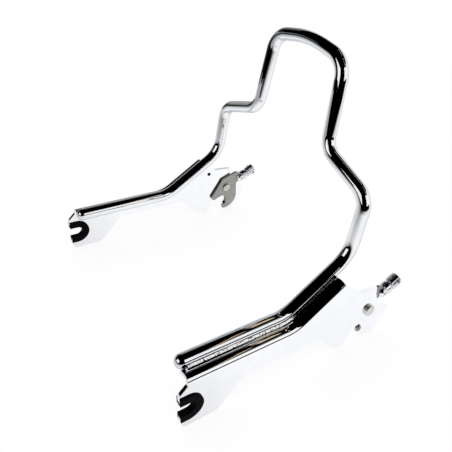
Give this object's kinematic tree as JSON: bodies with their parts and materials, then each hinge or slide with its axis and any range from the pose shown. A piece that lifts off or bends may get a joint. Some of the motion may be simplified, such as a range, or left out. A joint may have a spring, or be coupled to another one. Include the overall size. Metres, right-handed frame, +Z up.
{
  "type": "sissy bar",
  "caption": "Detachable motorcycle sissy bar: bent chrome rod hoop welded to flanged side plates with rubber-lined front forks and swinging rear latch hooks with knobs.",
  "frame": {"origin": "on the ground under the middle of the whole bar: halfway between the plates, halfway along their length and at the level of the plates' feet", "axes": "+X to the rider's left, across the bar; +Y rearward; +Z up"},
  "size_m": [0.3084, 0.2796, 0.3051],
  "materials": {
    "chrome_rod": "bright chrome plate",
    "chrome_plate": "bright chrome plate",
    "chrome_hardware": "bright chrome plate",
    "satin_steel": "satin zinc or steel",
    "black_rubber": "matt moulded rubber"
  },
  "bodies": {
    "frame": {"hoop_rod": "chrome_rod", "left_side_plate": "chrome_plate", "left_front_grommet": "black_rubber", "left_bumper": "black_rubber", "left_pivot_bolt": "chrome_hardware", "left_pivot_washer": "satin_steel", "left_pivot_cap": "satin_steel", "right_side_plate": "chrome_plate", "right_front_grommet": "black_rubber", "right_bumper": "black_rubber", "right_pivot_bolt": "chrome_hardware", "right_pivot_washer": "satin_steel", "right_pivot_cap": "satin_steel"},
    "left_latch": {"left_latch_hook": "satin_steel", "left_knob_stem": "chrome_hardware", "left_eye_pin": "satin_steel"},
    "left_barrel": {"left_latch_knob": "chrome_hardware", "left_cross_pin": "satin_steel"},
    "right_latch": {"right_latch_hook": "satin_steel", "right_knob_stem": "chrome_hardware", "right_eye_pin": "satin_steel"},
    "right_barrel": {"right_latch_knob": "chrome_hardware", "right_cross_pin": "satin_steel"}
  },
  "joints": [
    {"name": "left_latch_swing", "type": "hinge", "parent": "frame", "child": "left_latch", "pos_m": [0.145, 0.091, 0.0395], "axis": [1, 0, 0], "range_deg": [-22, 35]},
    {"name": "left_knob_turn", "type": "hinge", "parent": "left_latch", "child": "left_barrel", "pos_m": [0.145, 0.1149, 0.0511], "axis": [0, 0.8942, 0.4478], "range_deg": [0, 90]},
    {"name": "right_latch_swing", "type": "hinge", "parent": "frame", "child": "right_latch", "pos_m": [-0.145, 0.091, 0.0395], "axis": [1, 0, 0], "range_deg": [-22, 35]},
    {"name": "right_knob_turn", "type": "hinge", "parent": "right_latch", "child": "right_barrel", "pos_m": [-0.145, 0.1149, 0.0511], "axis": [0, 0.8942, 0.4478], "range_deg": [0, 90]}
  ]
}
